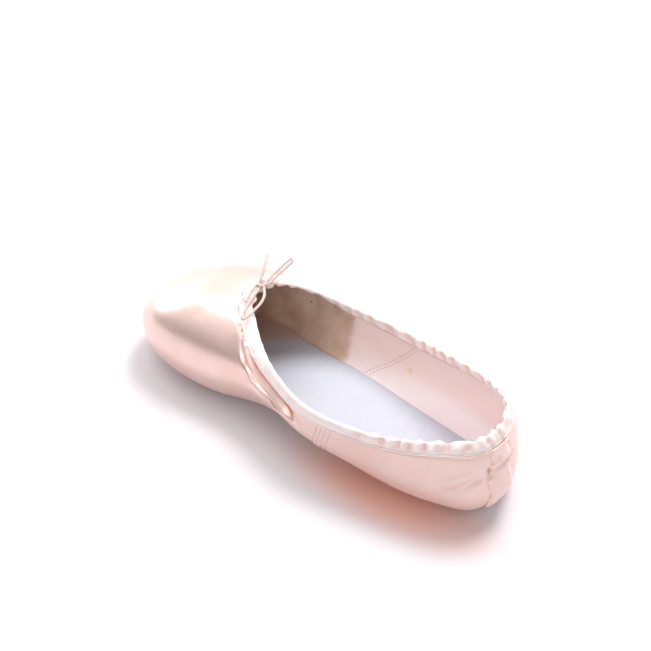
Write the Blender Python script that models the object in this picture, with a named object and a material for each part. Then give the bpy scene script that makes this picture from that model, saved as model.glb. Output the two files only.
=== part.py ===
"""Satin pointe shoe, standing empty on its sole.

Metres, +Z up. +Y runs from the heel to the toe, +X is the right-hand side seen from behind,
and the origin is on the floor under the middle of the shoe.

The upper, the drawstring casing and the heel strip all come from one form, the last: a fan of
section lines that start under the foot and run up the wall to the collar. SECTIONS has a row for
each line, from the heel seam round one side to the toe, as shares of the sizes below.
"""

import math
from functools import lru_cache
from typing import NamedTuple

import bmesh
import bpy
import numpy as np
from mathutils import Vector

# Last
LENGTH = 0.234
BALL_WIDTH = 0.080
HEEL_WIDTH = 0.070
INSTEP_HEIGHT = 0.056
HEEL_HEIGHT = 0.057

# Walls and gaps
SOFT_WALL = 0.0014
BOX_WALL = 0.0026
BOX_START = 0.04
BOX_BLEND = 0.20
SEAM_STEP = 0.0007
GAP = 0.0003
SOLE_GAP = 0.0006

# Drawstring casing
CASING_HEIGHT = 0.0072
CASING_GAP = 0.0005
CASING_THICKNESS = 0.0034
CASING_ROUND = 2.6

# Sole: the outsole laps the upper's lower edge, the insole stops short of the wall's turn
OUTSOLE_THICKNESS = 0.0030
OUTSOLE_LAP = 0.0050
INSOLE_THICKNESS = 0.0016
INSOLE_CLEAR = 0.0024
WAIST_RISE = 0.0090
TOE_SPRING = 0.0020
SPRING_START = 0.36
TURN_RISE = 0.0010
FLAT_SHARE = 0.80
PLATE_BEVEL = 0.3

# Heel strip
STRIP_WIDTH = 0.0160
STRIP_THICKNESS = 0.0008
STRIP_PLACE = 0.012
STRIP_START = 0.24

# Drawstring
CORD_DIAMETER = 0.0016
KNOT_LENGTH = 0.0064
KNOT_WIDTH = 0.0044
KNOT_HEIGHT = 0.0036
KNOT_PLACE = (0.0020, -0.0036, 0.0022)
KNOT_TURN = math.radians(-40)

# Routes of the drawstring's bow from the knot and, for a loop, back to it. They and KNOT_PLACE
# are measured from the casing at the middle of the throat
LOOP_NEAR = (
    (-0.0013, -0.0042, 0.0022),
    (-0.0061, -0.0050, 0.0026),
    (-0.0121, -0.0062, 0.0026),
    (-0.0177, -0.0072, 0.0022),
    (-0.0227, -0.0086, 0.0016),
    (-0.0245, -0.0108, 0.0012),
    (-0.0203, -0.0112, 0.0014),
    (-0.0153, -0.0116, 0.0020),
    (-0.0095, -0.0118, 0.0026),
    (-0.0047, -0.0106, 0.0030),
    (-0.0009, -0.0070, 0.0026),
)
LOOP_FAR = (
    (0.0051, -0.0050, 0.0036),
    (0.0107, -0.0050, 0.0050),
    (0.0163, -0.0058, 0.0062),
    (0.0221, -0.0064, 0.0072),
    (0.0253, -0.0074, 0.0072),
    (0.0249, -0.0090, 0.0066),
    (0.0203, -0.0094, 0.0054),
    (0.0153, -0.0086, 0.0042),
    (0.0103, -0.0078, 0.0032),
    (0.0057, -0.0072, 0.0020),
)
END_FAR = (
    (0.0031, -0.0026, 0.0048),
    (0.0057, -0.0018, 0.0068),
    (0.0101, 0.0000, 0.0088),
    (0.0167, 0.0030, 0.0106),
)
END_NEAR = (
    (-0.0013, -0.0012, 0.0020),
    (-0.0055, -0.0016, 0.0024),
    (-0.0095, -0.0028, 0.0022),
    (-0.0133, -0.0040, 0.0020),
)
# Places round the shoe, as shares of the way round, from the heel seam over the near side
THROAT = 0.5
SIDE_SEAMS = (0.195, 0.805)
SEAM_SLANT = 0.035
SEAM_REACH = 0.09
SEAM_CLEAR = 0.004
SEAM_HALF_WIDTH = 0.0006

# Mesh
AROUND = 84
UP = 15
UP_TURN = 4
FINE = 61
WRAP = 3
CASING_CORNERS = 10
PLATE_STATIONS = 34
STRIP_COLUMNS = 6
STRIP_ROWS = 14
PLACE_STEP = 0.004
CLIMB_STEP = 0.02


class Size(NamedTuple):
    """The width and height that a section's shares are taken of."""

    width: float
    height: float


HEEL = Size(HEEL_WIDTH, HEEL_HEIGHT)
BALL = Size(BALL_WIDTH, INSTEP_HEIGHT)


# Places of the rings under the foot in a section's points
SOLE_RING = 0
FLAT_RING = 1
BELLY_RING = 3


class Section(NamedTuple):
    """One section line. It lies over the ray from hub, on the centre line, to the belly, the widest
    point. sole, turn, shoulder, crown and rim are shares of that ray, *_up are shares of height."""

    of: Size
    hub: float
    along: float
    out: float
    belly_up: float
    sole: float
    turn: float
    shoulder: float
    shoulder_up: float
    crown: float
    crown_up: float
    rim: float
    rim_up: float


# of, hub, along, out, belly_up, sole, turn, shoulder, shoulder_up, crown, crown_up, rim, rim_up
SECTIONS = (
    Section(HEEL, -0.340, -0.500, 0.000, 0.29, 0.62, 0.87, 0.98, 0.62, 0.90, 0.84, 0.78, 1.00),
    Section(HEEL, -0.340, -0.474, 0.275, 0.29, 0.60, 0.86, 0.98, 0.62, 0.91, 0.84, 0.78, 0.98),
    Section(HEEL, -0.330, -0.392, 0.425, 0.33, 0.50, 0.80, 0.99, 0.60, 0.94, 0.81, 0.83, 0.92),
    Section(HEEL, -0.264, -0.281, 0.495, 0.33, 0.42, 0.78, 1.01, 0.56, 1.00, 0.74, 0.96, 0.83),
    Section(HEEL, -0.162, -0.162, 0.525, 0.34, 0.31, 0.76, 1.02, 0.53, 1.04, 0.69, 1.04, 0.78),
    Section(HEEL, -0.051, -0.051, 0.545, 0.36, 0.27, 0.75, 1.02, 0.55, 1.02, 0.71, 1.00, 0.79),
    Section(BALL, 0.051, 0.060, 0.430, 0.41, 0.30, 0.80, 1.01, 0.60, 0.98, 0.77, 0.91, 0.86),
    Section(BALL, 0.085, 0.145, 0.455, 0.40, 0.42, 0.80, 0.99, 0.66, 0.85, 0.82, 0.66, 0.91),
    Section(BALL, 0.110, 0.247, 0.500, 0.40, 0.47, 0.83, 0.91, 0.72, 0.65, 0.89, 0.42, 0.97),
    Section(BALL, 0.128, 0.358, 0.450, 0.42, 0.50, 0.86, 0.92, 0.71, 0.64, 0.91, 0.30, 0.99),
    Section(BALL, 0.136, 0.444, 0.340, 0.36, 0.58, 0.89, 0.96, 0.63, 0.66, 0.90, 0.22, 1.00),
    Section(BALL, 0.145, 0.488, 0.190, 0.30, 0.64, 0.92, 0.98, 0.56, 0.69, 0.87, 0.20, 1.00),
    Section(BALL, 0.145, 0.500, 0.000, 0.28, 0.66, 0.93, 0.99, 0.53, 0.70, 0.86, 0.19, 1.00),
)


class Run(NamedTuple):
    """A value at a place along the shoe, both as shares."""

    along: float
    value: float


class Bend(NamedTuple):
    """How far the centre line lies aside at a place along, at the sole and at rim height: shares of
    BALL_WIDTH. A soft shoe swings at the throat, and the vamp swings further than the sole."""

    along: float
    sole: float
    rim: float


BENDS = (
    Bend(-0.50, 0.000, 0.020),
    Bend(-0.38, 0.012, 0.058),
    Bend(-0.20, 0.022, 0.055),
    Bend(-0.05, 0.028, 0.045),
    Bend(0.05, 0.044, 0.075),
    Bend(0.13, 0.075, 0.125),
    Bend(0.21, 0.092, 0.148),
    Bend(0.35, 0.048, 0.075),
    Bend(0.50, 0.000, 0.000),
)

# Underside of the outsole: share of WAIST_RISE
UNDERSIDE = (
    Run(-0.50, 0.00),
    Run(-0.28, 0.00),
    Run(-0.16, 0.42),
    Run(-0.05, 0.92),
    Run(0.03, 1.00),
    Run(0.11, 0.55),
    Run(0.20, 0.00),
    Run(0.50, 0.00),
)


def hermite(knots, values, at):
    """Smooth curve through values at knots, read at the places in at."""
    knots = np.asarray(knots, float)
    values = np.asarray(values, float)
    slopes = np.gradient(values, knots, axis=0)
    index = np.clip(np.searchsorted(knots, at, side="right") - 1, 0, len(knots) - 2)
    step = knots[index + 1] - knots[index]
    t = (at - knots[index]) / step
    shape = t.shape + (1,) * (values.ndim - 1)
    t = t.reshape(shape)
    step = step.reshape(shape)
    return (
        (2 * t**3 - 3 * t**2 + 1) * values[index]
        + (t**3 - 2 * t**2 + t) * step * slopes[index]
        + (3 * t**2 - 2 * t**3) * values[index + 1]
        + (t**3 - t**2) * step * slopes[index + 1]
    )


def read_runs(runs, share):
    """The value of a table of runs at a share along."""
    return float(hermite([run.along for run in runs], [run.value for run in runs], np.array([share]))[0])


def aside(y, z=0.0):
    """How far the bent centre line lies from X = 0 at y, at a height."""
    along = np.array([min(max(y / LENGTH, -0.5), 0.5)])
    ends = [(bend.sole, bend.rim) for bend in BENDS]
    sole, rim = hermite([bend.along for bend in BENDS], ends, along)[0]
    return BALL_WIDTH * (sole + (rim - sole) * z / INSTEP_HEIGHT)


def underside(y):
    """Height of the outsole's lower face at y."""
    share = min(max(y / LENGTH, -0.5), 0.5)
    spring = max(0.0, (share - SPRING_START) / (0.5 - SPRING_START))
    return WAIST_RISE * max(0.0, read_runs(UNDERSIDE, share)) + TOE_SPRING * spring**2


def flap_height(y):
    """Height of the upper's lowest skin at y, just above the outsole."""
    return underside(y) + OUTSOLE_THICKNESS + SOLE_GAP


def control_points(section, side):
    """The section's points, from the sole's edge to the rim, on one side of the shoe."""
    hub = np.array([0.0, section.hub * LENGTH])
    belly = np.array([side * section.out * section.of.width, section.along * LENGTH])
    tall = section.of.height
    flat = section.sole + (section.turn - section.sole) * FLAT_SHARE
    rays = (
        (section.sole, None, 0.0),
        (flat, None, 0.0),
        (section.turn, None, TURN_RISE),
        (1.0, section.belly_up, 0.0),
        (section.shoulder, section.shoulder_up, 0.0),
        (section.crown, section.crown_up, 0.0),
        (section.rim, section.rim_up, 0.0),
    )
    points = []
    for share, up, rise in rays:
        x, y = hub + (belly - hub) * share
        z = flap_height(y) + rise if up is None else up * tall
        points.append((x + aside(y, z), y, z))
    return points


def make_net():
    """Control points of every section round the shoe, and each section's place round it."""
    near = [control_points(section, -1) for section in SECTIONS]
    far = [control_points(section, 1) for section in SECTIONS[-2:0:-1]]
    net = np.array(near + far)
    belly = net[:, BELLY_RING]
    steps = np.linalg.norm(np.roll(belly, -1, axis=0) - belly, axis=1)
    ends = np.concatenate([[0.0], np.cumsum(steps)])
    places = ends / ends[-1]
    knots = np.concatenate([places[-1 - WRAP : -1] - 1, places, places[1 : 1 + WRAP] + 1])
    around = np.concatenate([net[-WRAP:], net, net[: 1 + WRAP]])
    return knots, around


NET_KNOTS, NET_POINTS = make_net()


@lru_cache(maxsize=None)
def section_line(place):
    """Fine points and lengths of the skin's line at a place round the shoe."""
    control = hermite(NET_KNOTS, NET_POINTS, np.array([place % 1.0]))[0]
    steps = np.linalg.norm(np.diff(control, axis=0), axis=1)
    knots = np.concatenate([[0.0], np.cumsum(steps**0.75)])
    fine = hermite(knots, control, np.linspace(0, knots[-1], FINE))
    flap = np.array([flap_height(y) for y in fine[:, 1]])
    fine[:, 2] = np.maximum(fine[:, 2], flap)
    lengths = np.concatenate([[0.0], np.cumsum(np.linalg.norm(np.diff(fine, axis=0), axis=1))])
    return fine, lengths


def line_length(place):
    return section_line(round(place, 6))[1][-1]


def on_line(place, reach):
    """Point of the skin at a place round the shoe and a length along its line."""
    fine, lengths = section_line(round(place, 6))
    return np.array([np.interp(reach, lengths, fine[:, axis]) for axis in range(3)])


def skin(place, share, off=0.0):
    """Point at a share of the line's length, pushed out from the skin by off."""
    point = on_line(place, share * line_length(place))
    return point + off * outward(place, share)


def outward(place, share):
    """Unit vector out of the skin."""
    low = max(0.0, share - CLIMB_STEP)
    high = min(1.0, share + CLIMB_STEP)
    before = on_line(place - PLACE_STEP, share * line_length(place - PLACE_STEP))
    after = on_line(place + PLACE_STEP, share * line_length(place + PLACE_STEP))
    below = on_line(place, low * line_length(place))
    above = on_line(place, high * line_length(place))
    normal = np.cross(above - below, after - before)
    return normal / np.linalg.norm(normal)


def wall_top(place):
    """Share of the line at which the satin wall ends, under the casing."""
    return 1 - (CASING_HEIGHT + CASING_GAP) / line_length(place)


def wall_thickness(point):
    """The box is stiffened with paste, and the wall thins out behind it."""
    share = min(max((point[1] / LENGTH - BOX_START) / BOX_BLEND, 0.0), 1.0)
    blend = share * share * (3 - 2 * share)
    return SOFT_WALL + (BOX_WALL - SOFT_WALL) * blend


def material(name, colour, roughness, sheen=0.0):
    """Principled material in the part's own colour."""
    made = bpy.data.materials.new(name)
    made.use_nodes = True
    shader = made.node_tree.nodes["Principled BSDF"]
    shader.inputs["Base Color"].default_value = (*colour, 1.0)
    shader.inputs["Roughness"].default_value = roughness
    shader.inputs["Sheen Weight"].default_value = sheen
    return made


def finish(name, mesh, parts, made_of):
    """Puts a mesh in the collection under its name, shaded smooth."""
    mesh.materials.append(made_of)
    piece = bpy.data.objects.new(name, mesh)
    parts.objects.link(piece)
    mesh.shade_smooth()
    mesh.set_sharp_from_angle(angle=math.radians(40))
    return piece


def loft(name, rings, closed_around, closed_across):
    """Mesh through rings of points. Open ends are capped."""
    shape = bmesh.new()
    rows = [[shape.verts.new(Vector(point)) for point in ring] for ring in rings]
    across = len(rows[0])
    pairs = list(zip(rows, rows[1:]))
    if closed_around:
        pairs.append((rows[-1], rows[0]))
    for first, second in pairs:
        for number in range(across if closed_across else across - 1):
            after = (number + 1) % across
            shape.faces.new((first[number], second[number], second[after], first[after]))
    if not closed_around:
        shape.faces.new(rows[0])
        shape.faces.new(reversed(rows[-1]))
    bmesh.ops.recalc_face_normals(shape, faces=shape.faces)
    mesh = bpy.data.meshes.new(name)
    shape.to_mesh(mesh)
    shape.free()
    return mesh


def places_around():
    """Places of the upper's mesh lines, with a close pair at each side seam for its step."""
    even = [number / AROUND for number in range(AROUND)]
    places = [place for place in even if all(abs(place - seam) > SEAM_CLEAR for seam in SIDE_SEAMS)]
    for seam in SIDE_SEAMS:
        places += [seam - SEAM_HALF_WIDTH, seam + SEAM_HALF_WIDTH]
    return sorted(places)


def slanted(place, climb):
    """A mesh line's place at a share of its climb: lines near a side seam slant forward with it."""
    for seam in SIDE_SEAMS:
        away = abs(place - seam) / SEAM_REACH
        if away < 1:
            forward = 1 if seam < 0.5 else -1
            return place + forward * SEAM_SLANT * (1 - climb) * (1 - away**2) ** 2
    return place


def make_upper(parts, satin):
    """Vamp, box, wings and quarters: one wall, open at the collar and over the sole."""
    rings = []
    for place in places_around():
        quarter = place < SIDE_SEAMS[0] or place > SIDE_SEAMS[1]
        outer = []
        inner = []
        for number in range(UP + 1):
            here = slanted(place, number / UP)
            share = wall_top(here) * number / UP
            outside = skin(here, share, SEAM_STEP if quarter and number > UP_TURN else 0.0)
            outer.append(outside)
            inner.append(skin(here, share, -wall_thickness(outside)))
        rings.append(outer + inner[::-1])
    mesh = loft("upper", rings, closed_around=True, closed_across=True)
    return finish("upper", mesh, parts, satin)


def make_casing(parts, satin):
    """Folded satin casing round the collar and the throat, that the drawstring runs in."""
    rings = []
    for place in places_around():
        length = line_length(place)
        low = 1 - CASING_HEIGHT / length
        middle = 1 - CASING_HEIGHT / 2 / length
        rise = skin(place, 1.0) - skin(place, low)
        rise = rise / np.linalg.norm(rise)
        out = outward(place, middle)
        wall = wall_thickness(skin(place, middle))
        centre = skin(place, middle, -wall / 2)
        ring = []
        for corner in range(CASING_CORNERS):
            angle = 2 * math.pi * (corner + 0.5) / CASING_CORNERS
            up = math.copysign(abs(math.sin(angle)) ** (2 / CASING_ROUND), math.sin(angle))
            side = math.copysign(abs(math.cos(angle)) ** (2 / CASING_ROUND), math.cos(angle))
            ring.append(centre + rise * up * CASING_HEIGHT / 2 + out * side * CASING_THICKNESS / 2)
        rings.append(ring)
    mesh = loft("collar_binding", rings, closed_around=True, closed_across=True)
    return finish("collar_binding", mesh, parts, satin)


def make_strip(parts, satin):
    """Satin strip that covers the back seam, from the casing down to the turn."""
    inner_off = SEAM_STEP + GAP
    perimeter = strip_perimeter()
    rings = []
    for row in range(STRIP_ROWS + 1):
        lower = []
        upper = []
        for column in range(STRIP_COLUMNS + 1):
            place = STRIP_PLACE + (column / STRIP_COLUMNS - 0.5) * STRIP_WIDTH / perimeter
            top = wall_top(place) - GAP / line_length(place)
            share = STRIP_START + (top - STRIP_START) * row / STRIP_ROWS
            lower.append(skin(place, share, inner_off))
            upper.append(skin(place, share, inner_off + STRIP_THICKNESS))
        rings.append(lower + upper[::-1])
    mesh = loft("heel_strip", rings, closed_around=False, closed_across=True)
    return finish("heel_strip", mesh, parts, satin)


def strip_perimeter():
    """Distance round the shoe at its belly."""
    belly = NET_POINTS[WRAP : -WRAP - 1, BELLY_RING]
    return float(np.linalg.norm(np.roll(belly, -1, axis=0) - belly, axis=1).sum())


def edge_point(place, ring, push):
    """Point in plan on a ring of the net's control points, pushed out from the middle of the shoe."""
    around = np.array([place - PLACE_STEP, place, place + PLACE_STEP])
    before, here, after = hermite(NET_KNOTS, NET_POINTS[:, ring, :2], around % 1.0)
    along = (after - before) / np.linalg.norm(after - before)
    return here + push * np.array([-along[1], along[0]])


def make_plate(name, ring, push, low, thickness, parts, made_of):
    """Flat piece under the foot that lies on a curved line along the shoe. Its outline is a ring of
    the net's control points, pushed out or in."""
    bevel = thickness * PLATE_BEVEL
    rings = []
    for number in range(1, PLATE_STATIONS):
        place = (1 - math.cos(math.pi * number / PLATE_STATIONS)) / 4
        near = edge_point(place, ring, push)
        far = edge_point(1 - place, ring, push)
        width = np.linalg.norm(far - near)
        inset = (far - near) * min(bevel / width, PLATE_BEVEL)
        bottom = low((near[1] + far[1]) / 2)
        top = bottom + thickness
        rings.append(
            [
                (*(near + inset), bottom),
                (*(far - inset), bottom),
                (*far, bottom + bevel),
                (*far, top - bevel),
                (*(far - inset), top),
                (*(near + inset), top),
                (*near, top - bevel),
                (*near, bottom + bevel),
            ]
        )
    mesh = loft(name, rings, closed_around=False, closed_across=True)
    return finish(name, mesh, parts, made_of)


def insole_low(y):
    """Height of the insole's lower face at y, over the upper's lower edge."""
    return flap_height(y) + wall_thickness((0.0, y)) + SOLE_GAP


def bow_seat():
    """Point of the casing's outer face at the middle of the throat, that the bow is tied on."""
    share = 1 - CASING_HEIGHT / 2 / line_length(THROAT)
    off = (CASING_THICKNESS - wall_thickness(skin(THROAT, share))) / 2
    return skin(THROAT, share, off)


def make_cord(name, route, parts, cotton):
    """Round cord along a smooth curve through the route's points."""
    route = np.array(route) + bow_seat()
    steps = np.linalg.norm(np.diff(route, axis=0), axis=1)
    knots = np.concatenate([[0.0], np.cumsum(steps)])
    count = max(4, round(knots[-1] / (1.6 * CORD_DIAMETER)))
    points = hermite(knots, route, np.linspace(0, knots[-1], count + 1))
    curve = bpy.data.curves.new(name, "CURVE")
    curve.dimensions = "3D"
    curve.bevel_depth = CORD_DIAMETER / 2
    curve.bevel_resolution = 2
    curve.use_fill_caps = True
    spline = curve.splines.new("POLY")
    spline.points.add(len(points) - 1)
    for spline_point, point in zip(spline.points, points):
        spline_point.co = (*point, 1.0)
    curve.materials.append(cotton)
    piece = bpy.data.objects.new(name, curve)
    parts.objects.link(piece)
    return piece


def make_knot(parts, cotton):
    """Tied knot of the drawstring, a rounded lump on the casing."""
    shape = bmesh.new()
    bmesh.ops.create_uvsphere(shape, u_segments=14, v_segments=9, radius=0.5)
    bmesh.ops.scale(shape, vec=(KNOT_LENGTH, KNOT_WIDTH, KNOT_HEIGHT), verts=shape.verts)
    mesh = bpy.data.meshes.new("bow_knot")
    shape.to_mesh(mesh)
    shape.free()
    knot = finish("bow_knot", mesh, parts, cotton)
    knot.location = Vector(bow_seat()) + Vector(KNOT_PLACE)
    knot.rotation_euler = (0.0, 0.0, KNOT_TURN)
    return knot


def move_to_origin(shoe, bow):
    """Puts the origin under the middle of the shoe's box. The bow only follows."""
    corners = np.array([vertex.co for piece in shoe for vertex in piece.data.vertices])
    middle = (corners.min(axis=0) + corners.max(axis=0)) / 2
    for piece in shoe + bow:
        piece.location.x -= middle[0]
        piece.location.y -= middle[1]


def main():
    for old in list(bpy.data.objects):
        bpy.data.objects.remove(old)
    parts = bpy.data.collections.new("pointe_shoe")
    bpy.context.scene.collection.children.link(parts)

    satin = material("satin", (0.80, 0.62, 0.58), 0.35, 0.5)
    casing_satin = material("casing_satin", (0.90, 0.76, 0.72), 0.4, 0.5)
    strip_satin = material("strip_satin", (0.80, 0.62, 0.58), 0.35, 0.5)
    leather = material("leather", (0.55, 0.42, 0.30), 0.7)
    sock = material("sock", (0.84, 0.85, 0.88), 0.8)
    cotton = material("cotton_cord", (0.88, 0.80, 0.77), 0.8)

    shoe = [
        make_upper(parts, satin),
        make_casing(parts, casing_satin),
        make_strip(parts, strip_satin),
        make_plate(
            "outsole", SOLE_RING, OUTSOLE_LAP, underside, OUTSOLE_THICKNESS, parts, leather
        ),
        make_plate(
            "insole", FLAT_RING, -INSOLE_CLEAR, insole_low, INSOLE_THICKNESS, parts, sock
        ),
    ]
    bow = [
        make_knot(parts, cotton),
        make_cord("bow_loop_near", LOOP_NEAR, parts, cotton),
        make_cord("bow_loop_far", LOOP_FAR, parts, cotton),
        make_cord("bow_end_near", END_NEAR, parts, cotton),
        make_cord("bow_end_far", END_FAR, parts, cotton),
    ]
    move_to_origin(shoe, bow)


main()
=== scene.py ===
"""Looks of a satin pointe shoe, in the order in which a maker puts it together.

Metres, in the part's own frame: +Z up, +Y from the heel to the toe, +X to the right seen from
behind. The near side of the shoe, towards the camera, is -X.
"""

import math

import bpy
import numpy as np
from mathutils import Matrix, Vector
from mathutils.kdtree import KDTree


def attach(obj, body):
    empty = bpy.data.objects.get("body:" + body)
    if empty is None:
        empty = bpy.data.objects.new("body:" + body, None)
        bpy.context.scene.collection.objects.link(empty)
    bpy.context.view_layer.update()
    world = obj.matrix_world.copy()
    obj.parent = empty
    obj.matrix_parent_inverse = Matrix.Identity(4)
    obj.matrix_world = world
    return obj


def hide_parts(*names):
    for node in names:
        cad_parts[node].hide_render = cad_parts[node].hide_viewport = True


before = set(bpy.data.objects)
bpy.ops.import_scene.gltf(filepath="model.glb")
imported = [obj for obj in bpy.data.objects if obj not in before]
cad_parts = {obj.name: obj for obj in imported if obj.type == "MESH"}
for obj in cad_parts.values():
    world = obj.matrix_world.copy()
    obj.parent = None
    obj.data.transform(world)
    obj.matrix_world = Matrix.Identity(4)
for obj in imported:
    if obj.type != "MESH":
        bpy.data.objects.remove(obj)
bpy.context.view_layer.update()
bpy.ops.object.select_all(action="DESELECT")

# Outsole: one piece of split leather, cut short of the toe and buffed to a fine nap. It is glued
# over the pleated satin and stitched round near its edge.
LEATHER_TAN = "B08A66"
LEATHER_DARK = "7E5C42"
LINEN = "E9DAC2"
NAP_GRAIN = 0.0006
NAP_HEIGHT = 0.0004
SCUFF_WIDTH = 0.018
STITCHES_FROM_EDGE = 0.0035
FACING_DOWN = -0.8
BESIDE_STATION = 0.003
SOLE_STITCH_SPACING = 0.0052
SOLE_STITCH = (0.0036, 0.0007)
SOLE_HEEL = -0.1015
SOLE_TIP = 0.0895
SOLE_STATIONS = 40


def linear(code):
    """An sRGB hex colour as linear RGBA."""
    channels = [int(code[place : place + 2], 16) / 255 for place in (0, 2, 4)]
    return (*[c / 12.92 if c <= 0.04045 else ((c + 0.055) / 1.055) ** 2.4 for c in channels], 1.0)


def add_node(material, kind, settings=None, links=None):
    """Adds a node, sets its sockets and properties, and links outputs into its sockets."""
    node = material.node_tree.nodes.new(kind)
    for name, value in (settings or {}).items():
        if isinstance(name, int) or name in node.inputs:
            node.inputs[name].default_value = value
        else:
            setattr(node, name, value)
    for name, output in (links or {}).items():
        material.node_tree.links.new(output, node.inputs[name])
    return node


def new_material(name, **sockets):
    """Principled material with its sockets set by name, underscores for spaces."""
    made = bpy.data.materials.new(name)
    made.use_nodes = True
    shader = made.node_tree.nodes["Principled BSDF"]
    for socket, value in sockets.items():
        shader.inputs[socket.replace("_", " ")].default_value = value
    return made, shader


def tinted(material, base, tint, value, low, high, most=1.0):
    """One colour going over into another as a value rises from low to high, up to a share."""
    share = add_node(
        material,
        "ShaderNodeMapRange",
        {
            "interpolation_type": "SMOOTHSTEP",
            "From Min": low,
            "From Max": high,
            "To Max": most,
        },
        {"Value": value},
    )
    mix = add_node(material, "ShaderNodeMixRGB", None, {"Fac": share.outputs["Result"]})
    for socket, colour in (("Color1", base), ("Color2", tint)):
        if isinstance(colour, str):
            mix.inputs[socket].default_value = linear(colour)
        else:
            material.node_tree.links.new(colour, mix.inputs[socket])
    return mix.outputs["Color"]


def select_only(piece):
    """Selects this piece alone and makes it the active one."""
    bpy.ops.object.select_all(action="DESELECT")
    piece.select_set(True)
    bpy.context.view_layer.objects.active = piece


def smooth_copy(node, name, levels):
    """A new piece with a solid's mesh: its loose triangles are merged, made quads and subdivided."""
    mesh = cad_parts[node].data.copy()
    mesh.materials.clear()
    piece = bpy.data.objects.new(name, mesh)
    bpy.context.scene.collection.objects.link(piece)
    select_only(piece)
    bpy.ops.mesh.customdata_custom_splitnormals_clear()
    bpy.ops.object.mode_set(mode="EDIT")
    bpy.ops.mesh.select_all(action="SELECT")
    bpy.ops.mesh.remove_doubles(threshold=0.00001)
    bpy.ops.mesh.mark_sharp(clear=True)
    bpy.ops.mesh.tris_convert_to_quads(
        face_threshold=math.radians(60), shape_threshold=math.radians(60)
    )
    bpy.ops.object.mode_set(mode="OBJECT")
    subdivide(piece, levels)
    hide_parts(node)
    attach(piece, "root")
    return piece


def subdivide(piece, levels):
    """Rounds a piece by subdivision and keeps the result as its mesh."""
    select_only(piece)
    smoothing = piece.modifiers.new("smoothing", "SUBSURF")
    smoothing.levels = levels
    smoothing.render_levels = levels
    bpy.ops.object.modifier_apply(modifier="smoothing")
    bpy.ops.object.shade_smooth()


def points_of(piece):
    """Places and normals of a mesh's points."""
    count = len(piece.data.vertices)
    places = np.empty(count * 3)
    normals = np.empty(count * 3)
    piece.data.vertices.foreach_get("co", places)
    piece.data.vertices.foreach_get("normal", normals)
    return places.reshape(-1, 3), normals.reshape(-1, 3)


def set_points(piece, places):
    """Moves a mesh's points to these places."""
    piece.data.vertices.foreach_set("co", places.ravel())
    piece.data.update()


def smoothstep(values, low, high):
    """0 at low and 1 at high, with smooth ends. It falls where low is the larger."""
    share = np.clip((values - low) / (high - low), 0, 1)
    return share * share * (3 - 2 * share)


def round_curve(name, thickness, resolution, capped=True):
    """An empty curve with a round section."""
    curve = bpy.data.curves.new(name, "CURVE")
    curve.dimensions = "3D"
    curve.bevel_depth = thickness / 2
    curve.bevel_resolution = resolution
    curve.use_fill_caps = capped
    return curve


def mesh_of(name, curve, material):
    """A smooth mesh piece of a curve, in its material and on the shoe."""
    piece = bpy.data.objects.new(name, curve)
    bpy.context.scene.collection.objects.link(piece)
    select_only(piece)
    bpy.ops.object.convert(target="MESH")
    piece = bpy.context.view_layer.objects.active
    bpy.ops.object.shade_smooth()
    piece.data.materials.append(material)
    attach(piece, "root")
    return piece


def sewn(name, surface, route, spacing, size, material):
    """Short arched stitches along a route, laid on a surface and joined as one mesh."""
    length, thickness = size
    route = np.array(route)
    spans = np.linalg.norm(np.diff(route, axis=0), axis=1)
    ends = np.concatenate([[0.0], np.cumsum(spans)])
    curve = round_curve(name, thickness, 1)
    for middle in np.arange(length, ends[-1] - length, spacing):
        spline = curve.splines.new("POLY")
        spline.points.add(4)
        for number, spline_point in enumerate(spline.points):
            at = middle + (number / 4 - 0.5) * length
            point = Vector([float(np.interp(at, ends, route[:, axis])) for axis in range(3)])
            _, place, normal, _ = surface.closest_point_on_mesh(point)
            lift = thickness * (0.45 * math.sin(math.pi * number / 4) - 0.10)
            laid = place + normal * lift
            spline_point.co = (laid.x, laid.y, max(laid.z, thickness / 2), 1.0)
    mesh_of(name, curve, material)


outsole = smooth_copy("outsole", "leather_outsole", 2)

# Buffed suede: matt, with a short nap that scatters the light, and darker where it is scuffed
suede, suede_shader = new_material("buffed split leather", Roughness=0.85, Sheen_Weight=0.25)
on_suede = add_node(suede, "ShaderNodeTexCoord").outputs["Object"]
fibres = add_node(
    suede,
    "ShaderNodeTexNoise",
    {"Scale": 1 / NAP_GRAIN, "Detail": 6.0, "Roughness": 0.55},
    {"Vector": on_suede},
).outputs["Fac"]
scuffs_place = add_node(
    suede,
    "ShaderNodeMapping",
    {"Scale": (1 / SCUFF_WIDTH, 0.35 / SCUFF_WIDTH, 1 / SCUFF_WIDTH)},
    {"Vector": on_suede},
)
scuffs = add_node(
    suede,
    "ShaderNodeTexNoise",
    {"Scale": 1.0, "Detail": 4.0, "Roughness": 0.55},
    {"Vector": scuffs_place.outputs["Vector"]},
).outputs["Fac"]
tone = tinted(suede, LEATHER_TAN, LEATHER_DARK, scuffs, 0.35, 0.7)
tone = tinted(suede, tone, LEATHER_DARK, fibres, 0.3, 0.7, 0.35)
suede.node_tree.links.new(tone, suede_shader.inputs["Base Color"])
nap = add_node(
    suede, "ShaderNodeBump", {"Distance": NAP_HEIGHT, "Strength": 0.8}, {"Height": fibres}
)
suede.node_tree.links.new(nap.outputs["Normal"], suede_shader.inputs["Normal"])
outsole.data.materials.append(suede)

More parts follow.
